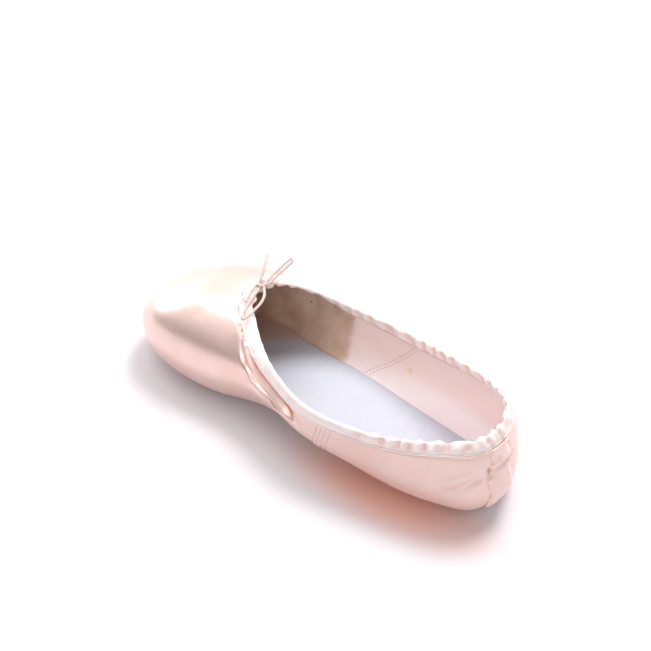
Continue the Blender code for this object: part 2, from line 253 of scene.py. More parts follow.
places, normals = points_of(outsole)
underside = normals[:, 2] < FACING_DOWN
sole_left = []
sole_right = []
for station in np.linspace(SOLE_HEEL, SOLE_TIP, SOLE_STATIONS):
    close = underside & (np.abs(places[:, 1] - station) < BESIDE_STATION)
    sides = places[close]
    low_side = sides[sides[:, 0].argmin()]
    high_side = sides[sides[:, 0].argmax()]
    sole_left.append((low_side[0] + STITCHES_FROM_EDGE, station, low_side[2]))
    sole_right.append((high_side[0] - STITCHES_FROM_EDGE, station, high_side[2]))
stitch_route = sole_left + sole_right[::-1] + sole_left[:1]

# Waxed linen: a dull, pale thread
waxed, waxed_shader = new_material("waxed linen thread", Roughness=0.6)
waxed_shader.inputs["Base Color"].default_value = linear(LINEN)
sewn("sole_stitches", outsole, stitch_route, SOLE_STITCH_SPACING, SOLE_STITCH, waxed)

# Insole: a smooth off-white coated sheet glued on the footboard. It is a little dented, and where it
# goes into the box a painted shadow of the vamp, warmed by bounced light, darkens it.
INSOLE_WHITE = "B9BCC6"
INSOLE_GREY = "B3B7C5"
# Painted shadow of the vamp on the sheet inside the box, warmed by bounced light
INSOLE_PAINTED_SHADOW = "B9A396"
SHADOW_SLANT = 1.6
SHADOW_FROM = (0.068, 0.088)
DENT_SIZE = 0.02
DENT_DEPTH = 0.0012
SHEET_WEAVE = 0.0012
WEAVE_HEIGHT = 0.00008
# Painted shadow in the gap at the sheet's edges, drawn as thin dark tubes
EDGE_SHADOW_GREY = "B39CA2"
EDGE_SHADOW_DIAMETER = 0.0006
EDGE_SHADOW_STATIONS = (-0.097, 0.030, 30)


def tube(name, route, diameter, closed, material):
    """Round thread or cord along a route, as a mesh on the shoe."""
    curve = round_curve(name, diameter, 3, not closed)
    spline = curve.splines.new("POLY")
    spline.points.add(len(route) - 1)
    for spline_point, point in zip(spline.points, route):
        spline_point.co = (*point, 1.0)
    spline.use_cyclic_u = closed
    return mesh_of(name, curve, material)


insole = smooth_copy("insole", "insole_sheet", 3)

# Coated sheet: smooth and pale, softly dented, with its weave drawn as coarse as it needs to show
sheet, sheet_shader = new_material("coated insole sheet", Roughness=0.55, Specular_IOR_Level=0.3)
on_sheet = add_node(sheet, "ShaderNodeTexCoord").outputs["Object"]
dents = add_node(
    sheet,
    "ShaderNodeTexNoise",
    {"Scale": 1 / DENT_SIZE, "Detail": 4.0, "Roughness": 0.55},
    {"Vector": on_sheet},
).outputs["Fac"]
weave = add_node(
    sheet,
    "ShaderNodeTexNoise",
    {"Scale": 1 / SHEET_WEAVE, "Detail": 2.0, "Roughness": 0.55},
    {"Vector": on_sheet},
).outputs["Fac"]
sheet_place = add_node(sheet, "ShaderNodeSeparateXYZ", None, {"Vector": on_sheet})
slanted = add_node(
    sheet,
    "ShaderNodeMath",
    {"operation": "MULTIPLY_ADD", 1: SHADOW_SLANT},
    {0: sheet_place.outputs["X"], 2: sheet_place.outputs["Y"]},
)
clean = tinted(sheet, INSOLE_WHITE, INSOLE_GREY, dents, 0.4, 0.75, 0.6)
# Painted shadow: the sheet darkens and warms beyond a slanted line, where the vamp's shadow falls
# inside the box
shadowed_sheet = tinted(sheet, clean, INSOLE_PAINTED_SHADOW, slanted.outputs["Value"], *SHADOW_FROM)
sheet.node_tree.links.new(shadowed_sheet, sheet_shader.inputs["Base Color"])
dented = add_node(
    sheet, "ShaderNodeBump", {"Distance": DENT_DEPTH, "Strength": 0.5}, {"Height": dents}
)
woven = add_node(
    sheet,
    "ShaderNodeBump",
    {"Distance": WEAVE_HEIGHT, "Strength": 0.5},
    {"Height": weave, "Normal": dented.outputs["Normal"]},
)
sheet.node_tree.links.new(woven.outputs["Normal"], sheet_shader.inputs["Normal"])
insole.data.materials.append(sheet)

# Painted shadow: a thin dull tube along both edges of the sheet, standing for the shaded gap between
# the sheet and the wall
edge_shadow, edge_shadow_shader = new_material("painted edge shadow", Roughness=0.6)
edge_shadow_shader.inputs["Base Color"].default_value = linear(EDGE_SHADOW_GREY)
places = points_of(insole)[0]
for edge_name, sign in (("far", 1), ("near", -1)):
    edge_route = []
    for station in np.linspace(*EDGE_SHADOW_STATIONS):
        close = places[np.abs(places[:, 1] - station) < BESIDE_STATION]
        top = close[close[:, 2] > np.median(close[:, 2])]
        edge_route.append(top[(sign * top[:, 0]).argmax()])
    edge_route = np.array(edge_route)
    for _ in range(4):
        edge_route[1:-1] = (edge_route[:-2] + 2 * edge_route[1:-1] + edge_route[2:]) / 4
    tube(f"edge_shadow_line_{edge_name}", edge_route, EDGE_SHADOW_DIAMETER, False, edge_shadow)

# Upper: corset satin over cotton canvas. The box is stiffened with paste and hard, the quarters are
# soft and fall in folds, and the satin is pleated under the box where the outsole covers it.
SATIN_LIGHT = "FCDFD8"
SATIN_DEEP = "F3C8BB"
# Painted warm shade for the light bounced between a fold's sides
SATIN_FOLD_SHADE = "E99578"
SATIN_SHEEN = "FFE9E2"
LINING_PINK = "F6E0DC"
LINING_PALE = "FAF0F2"
PASTE_BROWN = "D8BEAB"
PASTE_DARK = "C2A38D"
DRIED_GLUE = "E4D5A6"
PIN_DARK = "3E3026"
THREAD_PINK = "E0BFB8"
SATIN_SLACK = (-0.050, 0.020)
SATIN_METALLIC = (0.12, 0.48)
TONE_DRIFT = 0.03
RIPPLE_LENGTH = 0.009
RIPPLE_HEIGHT = 0.0009
THREAD_SLUB = 0.0009
SLUB_HEIGHT = 0.00006
AXIS_HEIGHT = 0.024
AXIS_FRONT = 0.070
AXIS_BACK = -0.085
PASTE_FROM = (0.007, 0.014)
PASTE_WAVE_LENGTH = 0.012
PASTE_WAVE = 0.010
STAIN_SIZE = 0.015
PALE_BELOW = (0.011, 0.021)
CANVAS_THREAD = 0.0014
CANVAS_HEIGHT = 0.0002
FOLD_REACH = 0.012
FOLD_STEP = 0.002
FOLD_FADE = 0.2
FOLD_AT_ENDS = 0.10
FOLD_FINE_WITHIN = 0.006
FOLD_FULL_DEPTH = 0.0024
FOLD_SHADE_TINT = (0.34, 0.90)
HEEL_FROM = (0.060, 0.090)
HEEL_TINT = 0.5
LOOSE_FROM_EDGE = (0.0008, 0.0036)
INNER_SHARE = 0.55
PLEAT_CENTRE = (0.003, 0.058)
PLEAT_COUNT = 44
PLEAT_DEPTH = 0.0006
PLEAT_HEIGHTS = (0.008, 0.0035)
PLEAT_FROM = (0.030, 0.060)
SEAM_ROWS = 4
LINING_SEAM_ROWS = 2
SEAM_ROW_GAP = 0.0027
SEAM_STITCH_SPACING = 0.0024
SEAM_STITCH = (0.0016, 0.00045)
GLUE_SPOT = (0.0323, -0.0328, 0.0197)
GLUE_SPOT_SIZE = (0.0002, 0.0026)
PINHOLE_SIZE = (0.0004, 0.0007)
PINHOLES = ((0.0380, 0.0384, 0.0284), (0.0331, 0.0189, 0.0387))

# Folds as soft ridges (height over 0) and troughs: half width, height, then the route along them
NEAR_FOLDS = (
    (0.0016, -0.0013, ((-0.0156, 0.0480, 0.0525), (-0.0200, 0.0430, 0.0500),
                       (-0.0260, 0.0380, 0.0460), (-0.0320, 0.0320, 0.0390))),
    (0.0024, -0.0026, ((-0.0235, 0.0360, 0.0465), (-0.0280, 0.0295, 0.0440),
                       (-0.0318, 0.0230, 0.0412), (-0.0348, 0.0155, 0.0385),
                       (-0.0376, 0.0062, 0.0362), (-0.0396, -0.0005, 0.0332),
                       (-0.0408, -0.0050, 0.0300), (-0.0416, -0.0085, 0.0275))),
    (0.0018, 0.0020, ((-0.0175, 0.0455, 0.0500), (-0.0240, 0.0362, 0.0440),
                      (-0.0302, 0.0268, 0.0395), (-0.0337, 0.0200, 0.0362), (-0.0366, 0.0100, 0.0326),
                      (-0.0390, 0.0015, 0.0292), (-0.0409, -0.0046, 0.0262),
                      (-0.0418, -0.0085, 0.0245))),
    (0.0017, -0.0018, ((-0.0290, 0.0350, 0.0430),
                       (-0.0318, 0.0304, 0.0395), (-0.0339, 0.0248, 0.0349),
                       (-0.0359, 0.0149, 0.0300), (-0.0381, 0.0054, 0.0270),
                       (-0.0405, -0.0030, 0.0245))),
    (0.0018, 0.0011, ((-0.0335, 0.0310, 0.0370), (-0.0355, 0.0240, 0.0315),
                      (-0.0375, 0.0150, 0.0262), (-0.0395, 0.0050, 0.0235))),
    (0.0016, -0.0011, ((-0.0340, 0.0290, 0.0325), (-0.0365, 0.0200, 0.0280),
                       (-0.0385, 0.0110, 0.0245))),
)
HEEL_FOLDS = (
    (0.0022, -0.0015, ((-0.0220, -0.1100, 0.0375), (-0.0160, -0.1130, 0.0385),
                       (-0.0080, -0.1165, 0.0390), (0.0000, -0.1180, 0.0400))),
    (0.0028, -0.0014, ((-0.0330, -0.0954, 0.0218), (-0.0306, -0.1010, 0.0270),
                       (-0.0267, -0.1070, 0.0330), (-0.0207, -0.1114, 0.0373))),
    (0.0034, 0.0008, ((-0.0345, -0.0920, 0.0270), (-0.0310, -0.1000, 0.0330),
                      (-0.0245, -0.1080, 0.0395))),
    (0.0040, -0.0004, ((-0.0367, -0.0760, 0.0316), (-0.0340, -0.0870, 0.0340),
                       (-0.0290, -0.1010, 0.0380), (-0.0218, -0.1100, 0.0405))),
    (0.0026, -0.0008, ((-0.0190, -0.1120, 0.0370), (-0.0120, -0.1160, 0.0330),
                       (-0.0060, -0.1175, 0.0270))),
    (0.0030, 0.0008, ((-0.0160, -0.1135, 0.0440), (-0.0090, -0.1150, 0.0430),
                      (-0.0020, -0.1165, 0.0440))),
    (0.0016, -0.0014, ((-0.0050, -0.1130, 0.0500), (-0.0055, -0.1150, 0.0440),
                       (-0.0060, -0.1170, 0.0370))),
)
FAR_FOLDS = (
    (0.0040, -0.0010, ((0.037, -0.004, 0.036), (0.038, -0.012, 0.028), (0.037, -0.019, 0.020))),
    (0.0050, -0.0009, ((0.036, 0.028, 0.036), (0.039, 0.016, 0.031), (0.041, 0.004, 0.026))),
    (0.0040, 0.0007, ((0.035, 0.024, 0.041), (0.038, 0.012, 0.036), (0.040, 0.000, 0.032))),
    (0.0016, 0.0008, ((0.026, 0.004, 0.014), (0.030, 0.002, 0.020))),
    (0.0016, 0.0008, ((0.024, -0.006, 0.014), (0.029, -0.008, 0.020))),
)
NEAR_SEAM = ((-0.0420, -0.0220, 0.0370), (-0.0420, -0.0209, 0.0318), (-0.0422, -0.0191, 0.0245),
             (-0.0400, -0.0180, 0.0160))
INNER_SEAM = ((0.0158, -0.0108, 0.0155), (0.0257, -0.0148, 0.0144), (0.0317, -0.0220, 0.0184),
              (0.0335, -0.0303, 0.0281), (0.0335, -0.0363, 0.0371))


def smooth_route(points, step):
    """Even points on a smooth curve through the route's points."""
    points = np.array(points)
    spans = np.linalg.norm(np.diff(points, axis=0), axis=1)
    knots = np.concatenate([[0.0], np.cumsum(spans)])
    slopes = np.gradient(points, knots, axis=0)
    at = np.linspace(0, knots[-1], round(knots[-1] / step) + 1)
    first = np.clip(np.searchsorted(knots, at, side="right") - 1, 0, len(knots) - 2)
    width = (knots[first + 1] - knots[first])[:, None]
    t = ((at - knots[first]) / width[:, 0])[:, None]
    return (
        (2 * t**3 - 3 * t**2 + 1) * points[first]
        + (t**3 - 2 * t**2 + t) * width * slopes[first]
        + (3 * t**2 - 2 * t**3) * points[first + 1]
        + (t**3 - t**2) * width * slopes[first + 1]
    )


def add_folds(places, outwards, folds):
    """Points pushed out or in near the folds' routes, and how deep each lies in them."""
    moved = places.copy()
    depth = np.zeros(len(places))
    for half_width, height, route in folds:
        route = smooth_route(route, FOLD_STEP)
        nearest = np.full(len(places), np.inf)
        share = np.zeros(len(places))
        spans = len(route) - 1
        for number in range(spans):
            start = route[number]
            span = route[number + 1] - start
            along = np.clip((places - start) @ span / (span @ span), 0, 1)
            apart = places - (start + along[:, None] * span)
            off_skin = (apart * outwards).sum(axis=1)
            across = np.linalg.norm(apart - off_skin[:, None] * outwards, axis=1)
            gap = np.where(np.abs(off_skin) < FOLD_REACH, across, np.inf)
            closer = gap < nearest
            nearest = np.where(closer, gap, nearest)
            share = np.where(closer, (number + along) / spans, share)
        fade = smoothstep(share, 0.0, FOLD_FADE) * smoothstep(1 - share, 0.0, FOLD_FADE)
        lasting = FOLD_AT_ENDS + (1 - FOLD_AT_ENDS) * fade
        push = height * np.exp(-((nearest / half_width) ** 2)) * lasting
        moved += outwards * push[:, None]
        depth -= push
    return moved, depth


def outward_side(places, normals):
    """1 where a wall's point is on its outer skin, -1 on its inner skin."""
    axis = np.stack(
        [
            np.full(len(places), 0.0),
            np.clip(places[:, 1], AXIS_BACK, AXIS_FRONT),
            np.full(len(places), AXIS_HEIGHT),
        ],
        axis=1,
    )
    return np.where(((places - axis) * normals).sum(axis=1) > 0, 1.0, -1.0)


def refine(piece, folds):
    """Cuts the faces near the folds' routes finer and evens them out."""
    places = points_of(piece)[0]
    near = np.zeros(len(places), bool)
    for _, _, route in folds:
        for start, end in zip(route[:-1], route[1:]):
            start = np.array(start)
            span = np.array(end) - start
            along = np.clip((places - start) @ span / (span @ span), 0, 1)
            apart = places - start - along[:, None] * span
            near |= np.linalg.norm(apart, axis=1) < FOLD_FINE_WITHIN
    select_only(piece)
    bpy.ops.object.mode_set(mode="EDIT")
    bpy.ops.mesh.select_all(action="DESELECT")
    bpy.ops.object.mode_set(mode="OBJECT")
    piece.data.vertices.foreach_set("select", near)
    bpy.ops.object.mode_set(mode="EDIT")
    bpy.ops.mesh.select_mode(type="VERT")
    bpy.ops.mesh.subdivide(number_cuts=2)
    bpy.ops.mesh.vertices_smooth(factor=0.5, repeat=3)
    bpy.ops.object.mode_set(mode="OBJECT")


def spotted(material, base, colour, centre, full_within, none_beyond):
    """The base colour with a small round spot of another colour on it."""
    apart = add_node(
        material,
        "ShaderNodeVectorMath",
        {"operation": "DISTANCE", 1: centre},
        {0: add_node(material, "ShaderNodeTexCoord").outputs["Object"]},
    )
    return tinted(material, colour, base, apart.outputs["Value"], full_within, none_beyond)


upper = smooth_copy("upper", "satin_upper", 2)
places, normals = points_of(upper)
outer = outward_side(places, normals) > 0
skin_places = places[outer]
skin_normals = normals[outer]
refine(upper, NEAR_FOLDS + HEEL_FOLDS)
face_count = len(upper.data.polygons)
centres = np.empty(face_count * 3)
face_normals = np.empty(face_count * 3)
upper.data.polygons.foreach_get("center", centres)
upper.data.polygons.foreach_get("normal", face_normals)
inside = outward_side(centres.reshape(-1, 3), face_normals.reshape(-1, 3)) < 0
places, normals = points_of(upper)
side = outward_side(places, normals)
folded, fold_depth = add_folds(
    places, normals * side[:, None], NEAR_FOLDS + HEEL_FOLDS + FAR_FOLDS
)
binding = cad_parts["collar_binding"].data.vertices
sewn_edge = KDTree(len(binding))
for number, vertex in enumerate(binding):
    sewn_edge.insert(vertex.co, number)
sewn_edge.balance()
from_edge = np.array([sewn_edge.find(place)[2] for place in places])
loose = smoothstep(from_edge, *LOOSE_FROM_EDGE) * np.where(side > 0, 1.0, INNER_SHARE)
places += (folded - places) * loose[:, None]
fold_depth *= (side > 0) * (1 - HEEL_TINT * smoothstep(-places[:, 1], *HEEL_FROM))
turn = np.arctan2(places[:, 0] - PLEAT_CENTRE[0], places[:, 1] - PLEAT_CENTRE[1])
pleated = smoothstep(places[:, 2], *PLEAT_HEIGHTS) * smoothstep(places[:, 1], *PLEAT_FROM) * (side > 0)
pleats = np.sin(turn * PLEAT_COUNT + 1.5 * np.sin(turn * 5))
places += normals * (PLEAT_DEPTH * pleated * pleats)[:, None]
set_points(upper, places)
select_only(upper)
bpy.ops.object.mode_set(mode="EDIT")
bpy.ops.mesh.vertices_smooth(factor=0.5, repeat=3)
bpy.ops.object.mode_set(mode="OBJECT")
# How deep each point lies in a fold, kept as the mask for the painted warm shade in the troughs
shade = upper.data.attributes.new("fold_depth", "FLOAT", "POINT")
shade.data.foreach_set("value", np.clip(fold_depth / FOLD_FULL_DEPTH, 0, 1))

# Satin: its long floats lie one way, so the light stretches into soft bands. The tight box shines
# more than the slack quarters, and a deep fold's troughs get painted warm shade for the light bounced
# between its sides. The slubs are drawn coarser than real thread, so that they show.
satin, satin_shader = new_material(
    "corset satin",
    Roughness=0.33,
    Specular_IOR_Level=0.6,
    Anisotropic=0.45,
    Sheen_Weight=0.35,
    Sheen_Roughness=0.4,
)
satin_shader.inputs["Sheen Tint"].default_value = linear(SATIN_SHEEN)
on_satin = add_node(satin, "ShaderNodeTexCoord").outputs["Object"]
drift = add_node(
    satin,
    "ShaderNodeTexNoise",
    {"Scale": 1 / TONE_DRIFT, "Detail": 3.0, "Roughness": 0.55},
    {"Vector": on_satin},
).outputs["Fac"]
ripples = add_node(
    satin,
    "ShaderNodeTexNoise",
    {"Scale": 1 / RIPPLE_LENGTH, "Detail": 2.0, "Roughness": 0.55},
    {"Vector": on_satin},
).outputs["Fac"]
slubs_place = add_node(
    satin,
    "ShaderNodeMapping",
    {"Scale": (1 / THREAD_SLUB, 0.12 / THREAD_SLUB, 1 / THREAD_SLUB)},
    {"Vector": on_satin},
)
slubs = add_node(
    satin,
    "ShaderNodeTexNoise",
    {"Scale": 1.0, "Detail": 3.0, "Roughness": 0.55},
    {"Vector": slubs_place.outputs["Vector"]},
).outputs["Fac"]
in_fold = add_node(satin, "ShaderNodeAttribute", {"attribute_name": "fold_depth"})
tone = tinted(satin, SATIN_LIGHT, SATIN_DEEP, drift, 0.3, 0.75, 0.5)
# Painted warm shade in the folds' troughs, for light bounced between their sides
tone = tinted(satin, tone, SATIN_FOLD_SHADE, in_fold.outputs["Fac"], *FOLD_SHADE_TINT)
satin.node_tree.links.new(tone, satin_shader.inputs["Base Color"])
satin_place = add_node(satin, "ShaderNodeSeparateXYZ", None, {"Vector": on_satin})
tightness = add_node(
    satin,
    "ShaderNodeMapRange",
    {
        "interpolation_type": "SMOOTHSTEP",
        "From Min": SATIN_SLACK[0],
        "From Max": SATIN_SLACK[1],
        "To Min": SATIN_METALLIC[0],
        "To Max": SATIN_METALLIC[1],
    },
    {"Value": satin_place.outputs["Y"]},
)
satin.node_tree.links.new(tightness.outputs["Result"], satin_shader.inputs["Metallic"])
rippled = add_node(
    satin, "ShaderNodeBump", {"Distance": RIPPLE_HEIGHT, "Strength": 0.22}, {"Height": ripples}
)
slubbed = add_node(
    satin,
    "ShaderNodeBump",
    {"Distance": SLUB_HEIGHT, "Strength": 0.6},
    {"Height": slubs, "Normal": rippled.outputs["Normal"]},
)
satin.node_tree.links.new(slubbed.outputs["Normal"], satin_shader.inputs["Normal"])

# Lining: matt cotton in the quarters, and canvas brown with dried paste from the ball forward
lining, lining_shader = new_material("pasted canvas and cotton lining", Roughness=0.75)
lining_shader.inputs["Sheen Weight"].default_value = 0.2
on_lining = add_node(lining, "ShaderNodeTexCoord").outputs["Object"]
paste_waves = add_node(
    lining,
    "ShaderNodeTexNoise",
    {"Scale": 1 / PASTE_WAVE_LENGTH, "Detail": 3.0, "Roughness": 0.55},
    {"Vector": on_lining},
).outputs["Fac"]
stains = add_node(
    lining,
    "ShaderNodeTexNoise",
    {"Scale": 1 / STAIN_SIZE, "Detail": 4.0, "Roughness": 0.55},
    {"Vector": on_lining},
).outputs["Fac"]
canvas = add_node(
    lining,
    "ShaderNodeTexNoise",
    {"Scale": 1 / CANVAS_THREAD, "Detail": 4.0, "Roughness": 0.55},
    {"Vector": on_lining},
).outputs["Fac"]
lining_place = add_node(lining, "ShaderNodeSeparateXYZ", None, {"Vector": on_lining})
paste_place = add_node(
    lining,
    "ShaderNodeMath",
    {"operation": "MULTIPLY_ADD", 1: PASTE_WAVE},
    {0: paste_waves, 2: lining_place.outputs["Y"]},
)
paste = tinted(lining, PASTE_BROWN, PASTE_DARK, stains, 0.35, 0.7)
tone = tinted(lining, LINING_PALE, LINING_PINK, lining_place.outputs["Z"], *PALE_BELOW)
tone = spotted(lining, tone, DRIED_GLUE, GLUE_SPOT, *GLUE_SPOT_SIZE)
tone = tinted(lining, tone, paste, paste_place.outputs["Value"], *PASTE_FROM)
for pinhole in PINHOLES:
    tone = spotted(lining, tone, PIN_DARK, pinhole, *PINHOLE_SIZE)
lining.node_tree.links.new(tone, lining_shader.inputs["Base Color"])
threads = add_node(
    lining, "ShaderNodeBump", {"Distance": CANVAS_HEIGHT, "Strength": 0.6}, {"Height": canvas}
)
lining.node_tree.links.new(threads.outputs["Normal"], lining_shader.inputs["Normal"])
upper.data.materials.append(satin)
upper.data.materials.append(lining)
upper.data.polygons.foreach_set("material_index", inside.astype(int))

# Sewing silk: a pale thread with a slight sheen
silk, silk_shader = new_material("pink silk thread", Roughness=0.5, Sheen_Weight=0.3)
silk_shader.inputs["Base Color"].default_value = linear(THREAD_PINK)
for row in range(SEAM_ROWS):
    outer_row = np.array(NEAR_SEAM) - np.array([0.0, row * SEAM_ROW_GAP, 0.0])
    sewn(f"side_seam_{row}", upper, outer_row, SEAM_STITCH_SPACING, SEAM_STITCH, silk)
for row in range(LINING_SEAM_ROWS):
    inner_row = np.array(INNER_SEAM) + np.array([0.0, row * SEAM_ROW_GAP, 0.0])
    sewn(f"lining_seam_{row}", upper, inner_row, SEAM_STITCH_SPACING, SEAM_STITCH, silk)

# Casing: a satin fold stitched round the collar with the drawstring in it. Drawing the string in
# gathers it into puffs at the heel and sides, and a fine piping finishes its lower edge.
CASING_LIGHT = "FFF3F0"
CASING_DEEP = "F0D2CC"
# Painted shade in the valleys between the gathered puffs
CASING_VALLEY_SHADE = "EFD0CA"
GATHER_SPACING = 0.0090
GATHER_DEPTH = 0.0011
GATHER_DRIFT = (0.35, 0.0083)
GATHER_SLOW_DRIFT = (0.20, 0.0179)
GATHERED_NEAR = (0.030, 0.060)
GATHERED_FAR = (-0.020, 0.030)
GATHERED_THROAT = (0.036, 0.052)
THROAT_STRENGTH = 0.34
QUIET_NEAR = 0.16
QUIET_FAR = 0.42
FRONT_DROP = 0.0014
FRONT_SIDE = (0.010, 0.024)
FRONT_ALONG = (-0.030, 0.010)
CRINKLE_LENGTH = 0.0026
CRINKLE_HEIGHT = 0.0005
CASING_DRIFT = 0.006
VALLEY_SHADE_TINT = (0.0, 1.2)
PIPING_DIAMETER = 0.0012
PIPING_LIFT = 0.0003
COLLAR_SAMPLES = 240
HALF_ROUND = COLLAR_SAMPLES // 2
COLLAR_MIDDLE = (-0.003, -0.028)
SKIN_FROM_RIM = (0.005, 0.013)


def evened(values, rounds):
    """Values round the closed collar, smoothed along it."""
    for _ in range(rounds):
        values = (np.roll(values, 1, 0) + 2 * values + np.roll(values, -1, 0)) / 4
    return values


def unit(vectors):
    """Vectors made one metre long."""
    return vectors / np.linalg.norm(vectors, axis=1)[:, None]


def without(vectors, directions):
    """Vectors less their part along the directions."""
    return vectors - (vectors * directions).sum(axis=1)[:, None] * directions


casing = smooth_copy("collar_binding", "gathered_casing", 3)
places, normals = points_of(casing)
angles = np.arctan2(places[:, 0] - COLLAR_MIDDLE[0], places[:, 1] - COLLAR_MIDDLE[1])
bins = ((angles + math.pi) / (2 * math.pi) * COLLAR_SAMPLES).astype(int) % COLLAR_SAMPLES
counts = np.bincount(bins, minlength=COLLAR_SAMPLES)[:, None]
centre_line = np.stack(
    [np.bincount(bins, places[:, axis], COLLAR_SAMPLES) for axis in range(3)], axis=1
) / np.maximum(counts, 1)
centre_line = evened(centre_line, 6)
tangents = unit(np.roll(centre_line, -1, 0) - np.roll(centre_line, 1, 0))
steps = np.linalg.norm(np.roll(centre_line, -1, 0) - centre_line, axis=1)
lengths = np.concatenate([[0.0], np.cumsum(steps)[:-1]])
outs = []
falls = []
for middle in centre_line:
    gaps = np.linalg.norm(skin_places - middle, axis=1)
    near = (gaps > SKIN_FROM_RIM[0]) & (gaps < SKIN_FROM_RIM[1])
    outs.append(skin_normals[near].mean(axis=0))
    falls.append(skin_places[near].mean(axis=0) - middle)
outs = unit(without(unit(evened(np.array(outs), 6)), tangents))
rises = -unit(without(without(evened(np.array(falls), 6), tangents), outs))
offsets = places - centre_line[bins]
reach = lengths[bins] + (offsets * tangents[bins]).sum(1)
height = (offsets * rises[bins]).sum(1)
width = (offsets * outs[bins]).sum(1)
tall = np.abs(height).max()
climb = np.clip((height + tall) / (2 * tall), 0, 1)
front_near = smoothstep(-places[:, 0], *FRONT_SIDE) * smoothstep(places[:, 1], *FRONT_ALONG)
drop = FRONT_DROP * front_near * (1 - climb)
places -= rises[bins] * drop[:, None]
height -= drop
foot_height = np.zeros(COLLAR_SAMPLES)
foot_width = np.zeros(COLLAR_SAMPLES)
for number in range(COLLAR_SAMPLES):
    here = np.flatnonzero(np.abs((bins - number + HALF_ROUND) % COLLAR_SAMPLES - HALF_ROUND) <= 1)
    foot = here[(width[here] - height[here]).argmax()]
    foot_height[number] = height[foot]
    foot_width[number] = width[foot]
near_side = places[:, 0] < 0
rear = np.where(
    near_side, smoothstep(-places[:, 1], *GATHERED_NEAR), smoothstep(-places[:, 1], *GATHERED_FAR)
)
throat = smoothstep(places[:, 1], *GATHERED_THROAT)
quiet = QUIET_NEAR + (QUIET_FAR - QUIET_NEAR) * smoothstep(places[:, 0], -0.010, 0.010)
strength = quiet + (1 - quiet) * rear + THROAT_STRENGTH * throat
phase = 2 * math.pi * (
    reach / GATHER_SPACING
    + GATHER_DRIFT[0] * np.sin(reach / GATHER_DRIFT[1])
    + GATHER_SLOW_DRIFT[0] * np.sin(reach / GATHER_SLOW_DRIFT[1])
)
lobes = 0.70 * np.sin(phase + 2.6 * climb) + 0.30 * np.sin(1.7 * phase - 1.8 * climb + 1.0)
on_wall = smoothstep(climb, 0.05, 0.45) * (1 - 0.45 * smoothstep(climb, 0.8, 1.0))
places += normals * (GATHER_DEPTH * strength * lobes * on_wall)[:, None]
set_points(casing, places)
# Mask for the painted shade in the valleys between the puffs
shade = casing.data.attributes.new("fold_depth", "FLOAT", "POINT")
shade.data.foreach_set("value", np.clip(0.35 - lobes, 0, 1) * strength * on_wall)

# Binding satin: the same cloth, slack and gathered, so its shine is softer, with painted shade in the
# valleys between its puffs
casing_satin, casing_shader = new_material(
    "gathered binding satin",
    Roughness=0.42,
    Specular_IOR_Level=0.5,
    Sheen_Weight=0.4,
    Sheen_Roughness=0.4,
)
on_casing = add_node(casing_satin, "ShaderNodeTexCoord").outputs["Object"]
drift = add_node(
    casing_satin,
    "ShaderNodeTexNoise",
    {"Scale": 1 / CASING_DRIFT, "Detail": 3.0, "Roughness": 0.55},
    {"Vector": on_casing},
).outputs["Fac"]
crinkles = add_node(
    casing_satin,
    "ShaderNodeTexNoise",
    {"Scale": 1 / CRINKLE_LENGTH, "Detail": 2.0, "Roughness": 0.55},
    {"Vector": on_casing},
).outputs["Fac"]
in_valley = add_node(casing_satin, "ShaderNodeAttribute", {"attribute_name": "fold_depth"})
tone = tinted(casing_satin, CASING_LIGHT, CASING_DEEP, drift, 0.35, 0.8, 0.4)
tone = tinted(casing_satin, tone, CASING_VALLEY_SHADE, in_valley.outputs["Fac"], *VALLEY_SHADE_TINT)
casing_satin.node_tree.links.new(tone, casing_shader.inputs["Base Color"])
crinkled = add_node(
    casing_satin,
    "ShaderNodeBump",
    {"Distance": CRINKLE_HEIGHT, "Strength": 0.3},
    {"Height": crinkles},
)
casing_satin.node_tree.links.new(crinkled.outputs["Normal"], casing_shader.inputs["Normal"])
casing.data.materials.append(casing_satin)

foot_route = (
    centre_line
    + rises * evened(foot_height, 8)[:, None]
    + outs * evened(foot_width, 8)[:, None]
)
on_skin = []
for point in foot_route:
    _, place, normal, _ = upper.closest_point_on_mesh(Vector(point))
    on_skin.append(place + normal * PIPING_LIFT)
piping_route = evened((foot_route + 4 * np.array(on_skin)) / 5, 3)
piping = tube("casing_piping", piping_route, PIPING_DIAMETER, True, casing_satin)

# Heel strip: a satin tape sewn over the back seam. Its edges pucker, sway a little and sink in at
# the stitches, and the fold across the heel pulls it in.
STRIP_AXIS = (0.0, -0.085, 0.024)
STRIP_LEVEL = 0.002
STRIP_SINK = 0.0007
STRIP_SEWN = (0.70, 0.98)
STRIP_PUCKERED = (0.35, 0.9)
# Share of painted shade along the strip's sunk, stitched edges
SEAM_SHADE_TINT = 0.25
PUCKER_SPACING = 0.0060
PUCKER_DEPTH = 0.0002
SWAY_HEIGHTS = (0.010, 0.022, 0.033, 0.043, 0.050)
SWAYS = (0.0, 0.0014, -0.0017, 0.0015, 0.0)

